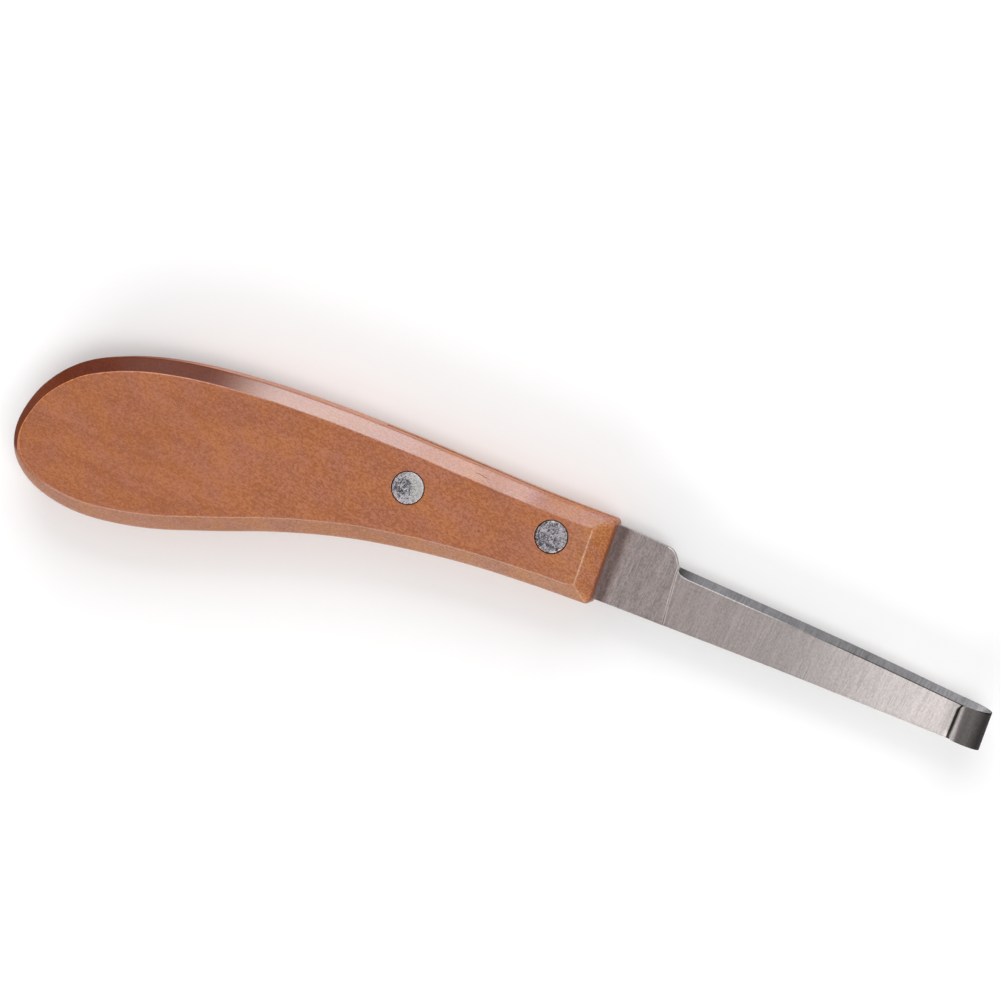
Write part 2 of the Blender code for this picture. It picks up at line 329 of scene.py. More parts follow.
def side_stations():
    """(outer point, inner point, chamfer height, wear) along the sides and round the butt."""
    curve = spline_through(OUTLINE, SPAN_STEPS)
    stations = []
    for before, point, after in zip(curve, curve[1:], curve[2:]):
        if point[0] > -END_CHAMFER - CORNER_RADIUS:
            continue
        facing = math.atan2(before[0] - after[0], after[1] - before[1])
        backwards = max(0.0, math.cos(facing - BUTT_DIRECTION))
        width = SIDE_CHAMFER - (SIDE_CHAMFER - BUTT_CHAMFER) * backwards ** 2
        settle = ease(-point[0], 6.0, 14.0)
        width += CHAMFER_WAVE * wobble(*point, WAVE_LENGTH, 3.1) * settle
        inner = (point[0] - width * math.cos(facing), point[1] - width * math.sin(facing))
        wear = max(0.0, math.cos(facing - WORN_DIRECTION)) ** 3
        stations.append((point, inner, width, wear))
    return stations


def corner_stations(corner_y, side):
    """Stations round a front corner, from the handle's side (+1 upper, -1 lower) to its end."""
    stations = []
    for step in range(CORNER_STEPS + 1):
        angle = math.pi / 2 * step / CORNER_STEPS
        back, down = math.sin(angle) - 1, math.cos(angle) - 1
        outer_y = corner_y + side * CORNER_RADIUS * down
        inner_y = corner_y - side * SIDE_CHAMFER + side * INNER_CORNER_RADIUS * down
        outer = (end_shift(outer_y) + CORNER_RADIUS * back, outer_y)
        inner = (end_shift(inner_y) - END_CHAMFER + INNER_CORNER_RADIUS * back, inner_y)
        stations.append((outer, inner, SIDE_CHAMFER, END_WEAR * step / CORNER_STEPS))
    return stations


def handle_section(outer, inner, height, wear):
    """The handle's rounded section at a station, from its back face round to its front face."""
    outer, inner = Vector(outer), Vector(inner)
    out = (outer - inner).normalized()
    reach = (outer - inner).length
    path = [(-FACE_RUN, 0.0), (0.0, 0.0), (reach, height), (reach, THICKNESS - height),
            (0.0, THICKNESS), (-FACE_RUN, THICKNESS)]
    face_edge = FACE_EDGE + (WORN_EDGE - FACE_EDGE) * wear
    wall_edge = WALL_EDGE + (WORN_EDGE - WALL_EDGE) * wear
    section = []
    for i, edge in zip(range(1, 5), (face_edge, wall_edge, wall_edge, face_edge)):
        section += rounded(path[i - 1], path[i], path[i + 1], edge, EDGE_STEPS)
    return [(*(inner + out * along), height) for along, height in section]


def make_kerf():
    """The saw cut that takes the tang, open at both sides of the handle."""
    half = ROOT_THICKNESS / 2 + KERF_GAP
    middle = THICKNESS / 2
    outside = 15.0
    verts = [(x, y, z) for x in (-KERF_LENGTH, KERF_LENGTH) for y in (-outside, outside)
             for z in (middle - half, middle + half)]
    faces = [(0, 1, 3, 2), (4, 6, 7, 5), (0, 4, 5, 1), (2, 3, 7, 6), (0, 2, 6, 4), (1, 5, 7, 3)]
    return new_object("kerf", verts, faces)


def make_rivet_hole(place):
    """The cutter for a rivet's hole: clear of the barrel, wider for the heads, with eased rims."""
    counterbore = HEAD_RADIUS + HEAD_GAP
    bore = BARREL_RADIUS + GAP
    depth = HEAD_SINK + HEAD_THICKNESS + GAP
    outside = 1.0
    rim = [(counterbore + HOLE_EASE, -outside), (counterbore + HOLE_EASE, 0.0), (counterbore + 0.05, 0.05),
           (counterbore, 0.2)]
    top = [(radius, THICKNESS - height) for radius, height in rim]
    profile = [(0.0, THICKNESS + outside), *top, (counterbore, THICKNESS - depth),
               (bore, THICKNESS - depth), (bore, depth), (counterbore, depth), *rim[::-1], (0.0, -outside)]
    return lathe("rivet_hole", profile, place)


def make_crack():
    """A sliver-shaped cutter for the small split, which wanders a little along its way."""
    start, end = Vector(CRACK[0]), Vector(CRACK[1])
    along = end - start
    across = Vector((0.0, -0.7, 0.7)) * CRACK_HALF_WIDTH
    deep = Vector((0.0, 0.7, 0.7))
    rings = []
    for t in (0.0, 0.15, 0.35, 0.55, 0.75, 0.9, 1.0):
        swell = math.sin(math.pi * min(max(t, 0.03), 0.97))
        centre = start + along * t + across * 1.4 * math.sin(9 * t)
        rings.append([
            tuple(centre + across * swell + deep * 0.5), tuple(centre - deep * 0.35 * swell),
            tuple(centre - across * swell + deep * 0.5)])
    return loft("crack", rings, closed=False)


def make_handle():
    """The wooden handle, with its kerf, its rivet holes and its small split."""
    lower = corner_stations(OUTLINE[-1][1], -1)
    upper = corner_stations(OUTLINE[0][1], 1)
    stations = lower + upper[::-1] + side_stations()
    handle = loft("handle_body", [handle_section(*station) for station in stations], closed=True)
    cut(handle, [make_kerf(), make_crack(), *[make_rivet_hole(place) for place in RIVETS.values()]])
    shade(handle, 30)
    return handle


# ---------------------------------------------------------------- blade

def strip_point(along, height, depth):
    """A point of the blade: distance along it, height across it, depth in from its back face."""
    if along <= HOOK_START:
        return along, height, BLADE_BACK + depth
    turn = min((along - HOOK_START) / HOOK_RADIUS, HOOK_TURN)
    leg = along - HOOK_START - HOOK_RADIUS * turn
    radius = HOOK_RADIUS - depth
    bent = radius * math.sin(turn) + leg * math.cos(turn)
    bent *= 1 + HOOK_FLARE * (HOOK_MIDDLE - height)
    z = BLADE_BACK + HOOK_RADIUS - radius * math.cos(turn) + leg * math.sin(turn)
    return HOOK_START + bent, height, z


def corner_cut(left, radius):
    """How far a round corner of this radius draws the edge in, this far from the end."""
    if left >= radius:
        return 0.0
    return radius - math.sqrt(radius ** 2 - (radius - left) ** 2)


def front_depth(along, height):
    """Thickness of the blade at a place, with the step that the grinding left on the front face."""
    step = STEP_TOP[0] + STEP_LEAN * (height - STEP_TOP[1])
    ground = ease(along, step, step + STEP_RUN)
    return ROOT_THICKNESS + (BLADE_THICKNESS - ROOT_THICKNESS) * ground


def blade_section(along):
    """(height, depth) points round the blade, and for each the surface that starts there."""
    left = STRIP_LENGTH - along
    low = read_smooth(LOWER_EDGE, along) + corner_cut(left, CORNERS[0])
    high = read_smooth(UPPER_EDGE, along) - corner_cut(left, CORNERS[1])
    shoulder = high - read_smooth(BEVEL_WIDTH, along)
    inset = corner_cut(left, END_ROUNDING)
    back = inset
    edge = max(EDGE_THICKNESS, inset + 0.03)
    top = front_depth(along, shoulder) - inset
    bottom = front_depth(along, low) - inset
    path = [(low, back), (high, back), (high, edge + 0.001), (shoulder, top), (low, bottom)]
    on_shoulder = ease(along, SHOULDER_START - 0.4, SHOULDER_START) * ease(
        along, BEVEL_START + 0.2, BEVEL_START - 0.2)
    section, surfaces = [], []
    for i, (name, reach) in enumerate(ROUNDINGS.items()):
        before, corner, after = path[i - 1], path[i], path[(i + 1) % len(path)]
        if name == "front":
            reach += SHOULDER_BURR * on_shoulder
        section += [tuple(p) for p in rounded(before, corner, after, reach, ROUNDING_STEPS)]
        surfaces += ["ridge" if name == "front" else "edge"] * ROUNDING_STEPS + [name]
        if name == "front":
            start, end = section[-1][0], low + ROUNDINGS["side"]
            for step in range(1, FRONT_SPANS):
                height = start + (end - start) * step / FRONT_SPANS
                section.append((height, front_depth(along, height) - inset))
                surfaces.append("front")
    return section, surfaces


def blade_stops():
    """Distances along the strip at which the blade gets a section, closest where it changes most."""
    tang = [TANG_END + reach for reach in (0.0, 0.3, 0.6, 1.3, 2.0)] + [-48.0, -40.0, -30.0, -20.0, -10.0]
    root = [-4.0] + [2.0 * i for i in range(6)]
    shoulder = [11.6 + 0.12 * i for i in range(30)]
    step = [15.2 + 0.08 * i for i in range(30)]
    bevel_start = [17.6 + 0.12 * i for i in range(14)]
    sharpened = [19.5 + 1.5 * i for i in range(46)]
    bend = [HOOK_START + (HOOK_END - HOOK_START) * i / 60 for i in range(61)]
    leg = [HOOK_END + (HOOK_LEG - CORNERS[1] - 0.1) * i / 4 for i in range(1, 5)]
    free_end = [STRIP_LENGTH - CORNERS[1] * (1 - math.sin(math.pi / 2 * i / 14)) for i in range(1, 15)]
    return tang + root + shoulder + step + bevel_start + sharpened + bend + leg + free_end


def make_rivet_bore(place):
    """The cutter for a rivet's hole through the tang, clear of the barrel."""
    bore = BARREL_RADIUS + GAP
    low, high = -5.0, THICKNESS + 5.0
    return lathe("bore", [(0.0, high), (bore, high), (bore, low), (0.0, low)], place)


def make_blade():
    """The blade with its tang. Material 0 is the ground steel, 1 its bevel and 2 the ridge beside that."""
    stops = blade_stops()
    sections = [blade_section(along) for along in stops]
    rings = [
        [strip_point(along, height, depth) for height, depth in section]
        for along, (section, _) in zip(stops, sections)]
    blade = loft("blade_body", rings, closed=False)
    count = len(rings[0])
    surfaces = sections[0][1]
    finishes = {"bevel": (1, BEVEL_START), "ridge": (2, SHOULDER_START)}
    for polygon in blade.data.polygons:
        row, place = divmod(polygon.index, count)
        finish, start = finishes.get(surfaces[place], (0, 0.0))
        if row < len(stops) - 1 and stops[row] > start:
            polygon.material_index = finish
    unroll = blade.data.uv_layers.new(name="along")
    for polygon in blade.data.polygons:
        for loop in polygon.loop_indices:
            row, place = divmod(blade.data.loops[loop].vertex_index, count)
            height = sections[row][0][place][0]
            unroll.data[loop].uv = (stops[row] / UNROLLED, height / UNROLLED)
    return blade


# ---------------------------------------------------------------- rivets

def peening(seed):
    """The relief of a hammered head: shallow dents of two sizes that fade out at its rim."""
    def relief(x, y):
        radius = math.hypot(x, y)
        flat = 1 - ease(radius, 2.9, 3.6)
        dents = 0.05 * wobble(x, y, 1.5, seed) + 0.03 * wobble(x, y, 0.7, seed + 5)
        return flat * dents
    return relief


def head_profile():
    """(radius, drop) points of a head, from its middle out and over its rounded rim."""
    middle = [(0.22 * i, 0.0) for i in range(14)]
    rim = [(3.05, -0.005), (3.2, -0.02), (3.35, -0.045), (3.48, -0.08), (3.58, -0.12), (3.66, -0.175),
           (3.72, -0.25), (HEAD_RADIUS, -0.38)]
    return middle + rim


def make_socket(name, place, relief):
    """The half with its head in the front face: a barrel with a bore for the stud's shank."""
    top = THICKNESS - HEAD_SINK
    under = top - HEAD_THICKNESS
    bore = SHANK_RADIUS + GAP
    profile = [(radius, top + drop) for radius, drop in head_profile()] + [
        (HEAD_RADIUS, under), (BARREL_RADIUS, under), (BARREL_RADIUS, BARREL_END), (bore, BARREL_END),
        (bore, SHANK_TIP + GAP), (0.0, SHANK_TIP + GAP)]
    return lathe(
        f"{name}_socket_body", profile, place,
        lambda x, y, height: relief(x, y) if height > under + 0.5 else 0.0)


def make_stud(name, place, relief):
    """The half with its head in the back face, and a shank that goes into the socket."""
    under = HEAD_SINK + HEAD_THICKNESS
    profile = [(0.0, SHANK_TIP), (1.3, SHANK_TIP), (SHANK_RADIUS, SHANK_TIP - 0.3), (SHANK_RADIUS, under),
               (HEAD_RADIUS, under)]
    profile += [(radius, HEAD_SINK - drop) for radius, drop in head_profile()[::-1]]
    return lathe(
        f"{name}_stud_body", profile, place,
        lambda x, y, height: -relief(x, -y) if height < under - 0.5 else 0.0)


# ---------------------------------------------------------------- materials

class Graph:
    """A material's node tree, with one short method for each kind of node."""

    def __init__(self, name):
        self.material = bpy.data.materials.new(name)
        self.material.use_nodes = True
        self.nodes = self.material.node_tree.nodes
        self.links = self.material.node_tree.links
        self.shader = self.nodes["Principled BSDF"]
        coordinates = self.nodes.new("ShaderNodeTexCoord")
        self.normal = coordinates.outputs["Normal"]
        self.place = self.vector(
            "MULTIPLY_ADD", coordinates.outputs["Object"], (1 / MM,) * 3, tuple(-DATUM))

    def put(self, value, socket):
        if isinstance(value, bpy.types.NodeSocket):
            self.links.new(value, socket)
        else:
            socket.default_value = value

    def vector(self, operation, a, b=(0.0, 0.0, 0.0), c=(0.0, 0.0, 0.0)):
        made = self.nodes.new("ShaderNodeVectorMath")
        made.operation = operation
        for value, socket in zip((a, b, c), made.inputs):
            self.put(value, socket)
        return made.outputs["Value" if operation in ("DOT_PRODUCT", "LENGTH") else "Vector"]

    def scaled(self, vector, factor):
        made = self.nodes.new("ShaderNodeVectorMath")
        made.operation = "SCALE"
        self.put(vector, made.inputs[0])
        self.put(factor, made.inputs["Scale"])
        return made.outputs["Vector"]

    def math(self, operation, a, b=0.0, c=0.0):
        made = self.nodes.new("ShaderNodeMath")
        made.operation = operation
        for value, socket in zip((a, b, c), made.inputs):
            self.put(value, socket)
        return made.outputs[0]

    def product(self, *values):
        total = values[0]
        for value in values[1:]:
            total = self.math("MULTIPLY", total, value)
        return total

    def split(self, vector):
        made = self.nodes.new("ShaderNodeSeparateXYZ")
        self.put(vector, made.inputs[0])
        return made.outputs

    def mapped(self, vector, scale, turn=0.0, shift=(0.0, 0.0, 0.0)):
        """A vector turned about Z by some degrees, then scaled by axis."""
        made = self.nodes.new("ShaderNodeMapping")
        made.vector_type = "POINT"
        turned = self.nodes.new("ShaderNodeMapping")
        self.put(vector, turned.inputs["Vector"])
        turned.inputs["Rotation"].default_value = (0.0, 0.0, math.radians(turn))
        turned.inputs["Location"].default_value = shift
        self.put(turned.outputs[0], made.inputs["Vector"])
        made.inputs["Scale"].default_value = scale
        return made.outputs[0]

    def noise(self, vector, detail=2.0, roughness=0.5, distortion=0.0):
        made = self.nodes.new("ShaderNodeTexNoise")
        self.put(vector, made.inputs["Vector"])
        made.inputs["Scale"].default_value = 1.0
        made.inputs["Detail"].default_value = detail
        made.inputs["Roughness"].default_value = roughness
        made.inputs["Distortion"].default_value = distortion
        return made.outputs["Fac"]

    def fade(self, value, start, end, first=0.0, last=1.0):
        """A smooth change from first to last as value goes from start to end."""
        made = self.nodes.new("ShaderNodeMapRange")
        made.interpolation_type = "SMOOTHSTEP"
        for entry, socket in zip((value, start, end, first, last), made.inputs):
            self.put(entry, socket)
        return made.outputs[0]

    def blend(self, factor, a, b):
        made = self.nodes.new("ShaderNodeMix")
        made.data_type = "RGBA"
        self.put(factor, made.inputs["Factor"])
        for value, socket in ((a, made.inputs[6]), (b, made.inputs[7])):
            self.put((*value, 1.0) if isinstance(value, tuple) else value, socket)
        return made.outputs[2]

    def tinted(self, colour, mask, tint):
        """The colour, multiplied by the tint where the mask is 1."""
        return self.vector("MULTIPLY", colour, self.blend(mask, WHITE, tint))

    def near(self, value, middle, inside, outside, first, last):
        """A smooth change from first, inside this distance from the middle, to last outside that one."""
        distance = self.math("ABSOLUTE", self.math("SUBTRACT", value, middle))
        return self.fade(distance, inside, outside, first, last)

    def bump(self, height, distance, strength):
        made = self.nodes.new("ShaderNodeBump")
        made.inputs["Strength"].default_value = strength
        made.inputs["Distance"].default_value = distance
        self.put(height, made.inputs["Height"])
        return made.outputs[0]

    def finish(self, colour, roughness, normal, **settings):
        self.put(colour, self.shader.inputs["Base Color"])
        self.put(roughness, self.shader.inputs["Roughness"])
        self.put(normal, self.shader.inputs["Normal"])
        for name, value in settings.items():
            self.shader.inputs[name.replace("_", " ")].default_value = value
        return self.material


def wood_grain(g, x):
    """(colour, fibres, grit) of bare wood: fibres along the handle, and finer flecks of colour on them."""
    cloud = g.noise(g.mapped(g.place, (0.05, 0.14, 0.14)), 3.0)
    fibre = g.noise(g.mapped(g.place, (0.09, 1.1, 1.1), 3.0), 4.0, 0.65)
    grit = g.noise(g.mapped(g.place, (1.7, 2.9, 2.9), 12.0), 3.0, 0.7)
    hue = g.noise(g.mapped(g.place, (0.12, 0.2, 0.2), 25.0, (3.0, 8.0, 5.0)), 2.0, 0.5)
    tone = g.math("MULTIPLY_ADD", cloud, 0.75, -0.375)
    tone = g.math("ADD", tone, g.math("MULTIPLY_ADD", fibre, 0.55, -0.275))
    swing = g.fade(x, -100.0, -50.0, 2.3, 3.7)
    tone = g.math("ADD", tone, g.math("MULTIPLY", swing, g.math("SUBTRACT", grit, 0.5)))
    tone = g.math("ADD", tone, 0.5)
    colour = g.blend(g.fade(tone, 0.05, 0.95), *WOOD_TONES)
    hues = g.blend(g.fade(hue, 0.32, 0.68), (1.03, 1.02, 0.72), (0.96, 0.97, 1.22))
    return g.vector("MULTIPLY", colour, hues), fibre, grit


def wood_figure(g):
    """How much darker the wood is for its flecks, growth lines, knot and seam."""
    fleck = g.noise(g.mapped(g.place, (0.55, 3.4, 3.4), -6.0, (9.0, 4.0, 2.0)), 1.0, 0.5)
    flecks = g.fade(fleck, 0.66, 0.78, 1.0, 0.84)
    rings = g.mapped(g.place, (0.10, 0.42, 0.3), -38.0)
    bent = g.noise(g.mapped(g.place, (0.03, 0.09, 0.09)), 2.0)
    line = g.math("FRACT", g.math("MULTIPLY_ADD", bent, 2.6, g.split(rings)[1]))
    growth = g.fade(line, 0.0, 0.12, 0.93, 1.0)
    knot = g.vector("LENGTH", g.vector("SUBTRACT", g.place, (-28.0, -3.55, 15.0)))
    from_seam = g.vector("SUBTRACT", g.place, (-25.0, 3.6, 0.0))
    seam = g.math("ABSOLUTE", g.vector("DOT_PRODUCT", from_seam, (0.6, 0.8, 0.0)))
    return g.product(
        flecks, growth, g.fade(knot, 0.12, 0.36, 0.5, 1.0), g.fade(seam, 0.1, 0.5, 0.9, 1.0))


def wood_tints(g, x, facing, sideways, upwards):
    """(mask, tint) pairs for the chamfers, whose pale tints are painted sheen, the front of the face, the
    end chamfer and the end grain.
    """
    chamfer = g.fade(g.math("ABSOLUTE", upwards), 0.3, 0.55)
    upper = g.math("MULTIPLY", chamfer, g.fade(sideways, 0.4, 0.6))
    lower = g.math("MULTIPLY", chamfer, g.fade(sideways, -0.4, -0.6))
    flat = g.fade(upwards, 0.95, 0.99)
    return (
        # Painted sheen: tints that pale the upper and lower chamfers, more towards the front, with a darker
        # tint at the rear of the upper one.
        (upper, (0.94, 1.0, 1.1)),
        (g.math("MULTIPLY", upper, g.fade(x, -36.0, -58.0)), (0.80, 0.82, 1.2)),
        (g.math("MULTIPLY", upper, g.fade(x, -42.0, -8.0)), (1.0, 1.2, 2.1)),
        (lower, (0.94, 1.03, 0.95)),
        (g.math("MULTIPLY", lower, g.fade(x, -44.0, -26.0)), (1.06, 1.18, 1.35)),
        (g.math("MULTIPLY", flat, g.fade(x, -13.0, -6.0)), (1.04, 1.17, 1.12)),
        (g.fade(facing, 0.3, 0.6), (1.02, 0.98, 1.06)),
        (g.fade(facing, 0.72, 0.95), (0.76, 0.70, 0.66)))


def wood_shade_and_highlights(g, place, directions):
    """(shade, tints): the mask of painted shade over the butt's end and the rear of the upper chamfer, and
    (mask, tint) pairs for that shade, the kerf and painted highlights on the edges.
    """
    x, y, z = place
    facing, sideways, upwards = directions
    steep = g.math("ABSOLUTE", upwards)
    rounding = g.math("MULTIPLY", g.fade(upwards, 0.72, 0.80), g.fade(upwards, 0.99, 0.96))
    back = g.math("MULTIPLY", g.fade(sideways, -0.5, -0.25), g.fade(x, -75.0, -108.0))
    # Painted shade: the rear of the upper chamfer and the butt's end are darkened, and their varnish
    # dulled.
    top_rear_shade = g.product(g.fade(sideways, 0.35, 0.55), g.fade(steep, 0.25, 0.5), g.fade(x, -76.0, -102.0))
    rear = g.math("MAXIMUM", g.math("MULTIPLY", g.fade(facing, -0.04, -0.35), back), top_rear_shade)
    butt_shade = g.math("MULTIPLY", rear, g.fade(rounding, 0.0, 1.0, 1.0, 0.2))
    # Painted highlights: pale lines along the rounded ridges between face and chamfers, at the back and
    # facing the front end, with an extra pale tint on those at the back.
    highlit_back = g.math("MULTIPLY", back, g.fade(y, -32.0, -24.0))
    ridge = g.math("MULTIPLY", rounding, g.math("MAXIMUM", highlit_back, g.fade(facing, 0.1, 0.3)))
    rim = g.math("MULTIPLY", rounding, highlit_back)
    sawn = g.math("MULTIPLY", g.fade(steep, 0.8, 0.95), g.near(z, THICKNESS / 2, 1.4, 1.6, 1.0, 0.0))
    # The painted shade's tints, the kerf's raw wood, then painted highlights along the ridges.
    tints = (
        (butt_shade, BUTT_SHADE_TINT), (top_rear_shade, (0.93, 0.78, 0.62)), (sawn, (1.5, 2.1, 3.0)),
        (ridge, (1.25, 1.6, 2.0)), (rim, (1.35, 1.25, 1.15)))
    return butt_shade, tints


def make_wood():
    """Varnished wood: painted shade darkens and dulls the butt's end, and painted highlights pale its
    edges.
    """
    g = Graph("varnished_wood")
    x, y, z = g.split(g.place)
    facing, sideways, upwards = g.split(g.normal)
    colour, fibre, grit = wood_grain(g, x)
    butt_shade, edge_and_shade_tints = wood_shade_and_highlights(g, (x, y, z), (facing, sideways, upwards))
    for mask, tint in edge_and_shade_tints + wood_tints(g, x, facing, sideways, upwards):
        colour = g.tinted(colour, mask, tint)
    colour = g.scaled(colour, wood_figure(g))
    roughness = g.math("MULTIPLY_ADD", grit, 0.22, 0.34)
    relief = g.math("MULTIPLY_ADD", fibre, 0.6, g.math("MULTIPLY", grit, 0.5))
    normal = g.bump(relief, 0.00006, 0.6)
    rubbed = g.math("MULTIPLY", g.fade(x, -24.0, -14.0), g.fade(sideways, 0.4, 0.6))
    # The varnish is dulled under the painted shade at the butt.
    varnish = g.product(
        g.fade(butt_shade, 0.0, 1.0, 1.0, 0.1), g.fade(rubbed, 0.0, 1.0, 1.0, 0.45),
        g.fade(g.math("ABSOLUTE", upwards), 0.1, 0.6, 0.4, 1.0))
    g.put(g.math("MULTIPLY", varnish, 0.8), g.shader.inputs["Coat Weight"])
    g.put(g.math("MULTIPLY", varnish, 0.4), g.shader.inputs["Specular IOR Level"])
    return g.finish(colour, roughness, normal, Coat_Roughness=0.24)


def brushed(g, lines=1.0):
    """(tone about 1, relief) of fine grinding lines that cross the blade, leaning a little."""
    fine = g.noise(g.mapped(g.place, (3.8, 0.22, 0.22), 5.0), 3.0, 0.7)
    broad = g.noise(g.mapped(g.place, (0.7, 0.04, 0.04), 4.0), 2.0, 0.6)
    grit = g.noise(g.mapped(g.place, (2.6, 1.7, 1.7)), 2.0, 0.6)
    tone = g.math("MULTIPLY_ADD", fine, 0.8 * lines, 1 - 0.4 * lines)
    tone = g.math("ADD", tone, g.math("MULTIPLY_ADD", broad, 0.35, -0.175))
    tone = g.math("ADD", tone, g.math("MULTIPLY_ADD", grit, 0.7, -0.35))
    return tone, fine


def step_shading(g, x, y):
    """How bright the front face is round the ground step: a painted highlight along it, darker past its
    foot.
    """
    leaned = g.math("MULTIPLY_ADD", g.math("SUBTRACT", y, STEP_TOP[1]), -STEP_LEAN, x)
    from_step = g.math("SUBTRACT", leaned, STEP_TOP[0])
    ground = g.fade(from_step, -0.2, 0.5, 0.75, 0.80)
    # Painted highlight: a light line along the step.
    line = g.near(from_step, STEP_RUN / 2, 0.09, 0.19, 1.0, 0.0)
    foot = g.near(from_step, 0.8, 0.2, 0.5, 0.86, 1.0)
    return g.product(ground, foot, g.math("MULTIPLY_ADD", line, g.fade(y, -7.0, -5.0, 0.2, 1.1), 1.0))


def hook_shading(g, x, y, z):
    """(all over, outside): painted shade and highlights on the steel at the hook, and the painted shade on
    the outside of its curl.
    """
    outer = g.fade(z, 9.0, 11.0)
    edge = g.math("MULTIPLY_ADD", y, 0.05, x)
    # Painted shade: the outside of the curl darker away from its free edge.
    outside = g.fade(g.math("MULTIPLY", g.fade(edge, 86.0, 88.1), outer), 0.0, 1.0, 1.0, 0.31)
    # Painted shade: darker still towards the far side of the curl.
    end = g.math("MULTIPLY", g.fade(x, 89.4, 90.6, 1.0, 0.82), g.fade(x, 90.6, 92.6, 1.0, 0.4))
    rim = g.product(g.fade(y, 0.8, 1.05), g.fade(x, 89.6, 91.2), outer)
    mouth = g.math("MULTIPLY_ADD", g.fade(y, -1.3, 0.5), -0.7, x)
    low = g.fade(z, 9.0, 8.6)
    # Painted shadow: the blade's face dark in the slit under the curl's free end.
    inside = g.math("MULTIPLY", g.fade(mouth, 85.3, 85.5), low)
    # Painted highlight: a light line beside the slit.
    slit_highlight = g.math("MULTIPLY", g.near(mouth, 85.0, 0.2, 0.45, 1.0, 0.0), low)
    overall = g.product(
        outside, end, g.fade(inside, 0.0, 1.0, 1.0, 0.10), g.fade(slit_highlight, 0.0, 1.0, 1.0, 1.3),
        g.fade(rim, 0.0, 1.0, 1.0, 0.15))
    return overall, outside


def make_steel():
    """Brushed blade steel: painted shade and a painted warm reflection at the root beside the handle, a
    painted reflection that brightens it towards the tip, and painted shade round the outside of the hook.
    """
    g = Graph("brushed_steel")
    x, y, z = g.split(g.place)
    tone, relief = brushed(g)
    coarse = g.fade(x, 13.0, 19.0, 1.4, 1.0)
    tone = g.math("MULTIPLY_ADD", g.math("SUBTRACT", tone, 1.0), coarse, 1.0)
    # Painted shade: a dark band on the steel beside the handle, a little lighter right at it.
    root = g.math("MULTIPLY", g.fade(x, 0.9, 1.9, 1.24, 1.0), g.fade(x, 2.2, 3.9, 0.49, 1.0))
    # Painted reflection: the steel brighter towards the tip.
    tip_reflection = g.fade(x, 42.0, 78.0, 1.0, 1.64)
    hook, outside = hook_shading(g, x, y, z)
    colour = g.blend(g.fade(x, 3.0, 60.0), *STEEL_TONES)
    # Painted reflection of the handle: a warm tint on the steel beside it.
    colour = g.tinted(colour, g.fade(x, 5.0, 2.0), (1.0, 0.86, 0.83))
    colour = g.scaled(colour, g.product(tone, step_shading(g, x, y), tip_reflection, root, hook))
    roughness = g.math("MULTIPLY_ADD", tone, 0.12, g.fade(outside, 1.0, 0.36, 0.25, 0.5))
    normal = g.bump(relief, 0.00002, 0.35)
    tangent = g.nodes.new("ShaderNodeTangent")
    tangent.direction_type = "UV_MAP"
    tangent.uv_map = "along"
    g.links.new(tangent.outputs[0], g.shader.inputs["Tangent"])
    return g.finish(colour, roughness, normal, Metallic=1.0, Anisotropic=0.5)


def make_bevel_steel():
    """The sharpened bevel: coarse, dull and darker, with a painted reflection that brightens it towards the
    tip and round the curl.
    """
    g = Graph("ground_bevel")
    x, _, z = g.split(g.place)
    tone, relief = brushed(g, 1.8)
    start = g.fade(x, 17.0, 22.0, 0.45, 1.0)
    # Painted reflection: brighter towards the tip and round the curl.
    tip = g.math("MULTIPLY", g.fade(x, 55.0, 88.0, 1.0, 1.5), g.fade(z, 10.0, 13.0, 1.0, 2.0))
    colour = g.scaled(BEVEL_STEEL, g.product(tone, start, tip))
    roughness = g.math("MULTIPLY_ADD", tone, 0.15, 0.38)
    normal = g.bump(relief, 0.00004, 0.6)
    return g.finish(colour, roughness, normal, Metallic=1.0)


def make_ridge_steel():
    """The ridge between bevel and front face: a painted highlight near the step, and darker further out and
    round the curl.
    """
    g = Graph("bevel_ridge")
    x, _, z = g.split(g.place)
    tone, relief = brushed(g, 1.8)
    # Painted highlight on the rounded shoulder near the step.
    shoulder_highlight = g.fade(x, 16.0, 16.8, 1.3, 0.8)
    ridge_brightness = g.product(shoulder_highlight, g.fade(x, 30.0, 62.0, 1.0, 0.15), g.fade(z, 9.0, 11.0, 1.0, 0.4))
    colour = g.scaled(RIDGE_STEEL, g.math("MULTIPLY", tone, ridge_brightness))
    normal = g.bump(relief, 0.00004, 0.6)
    return g.finish(colour, 0.4, normal, Metallic=1.0)


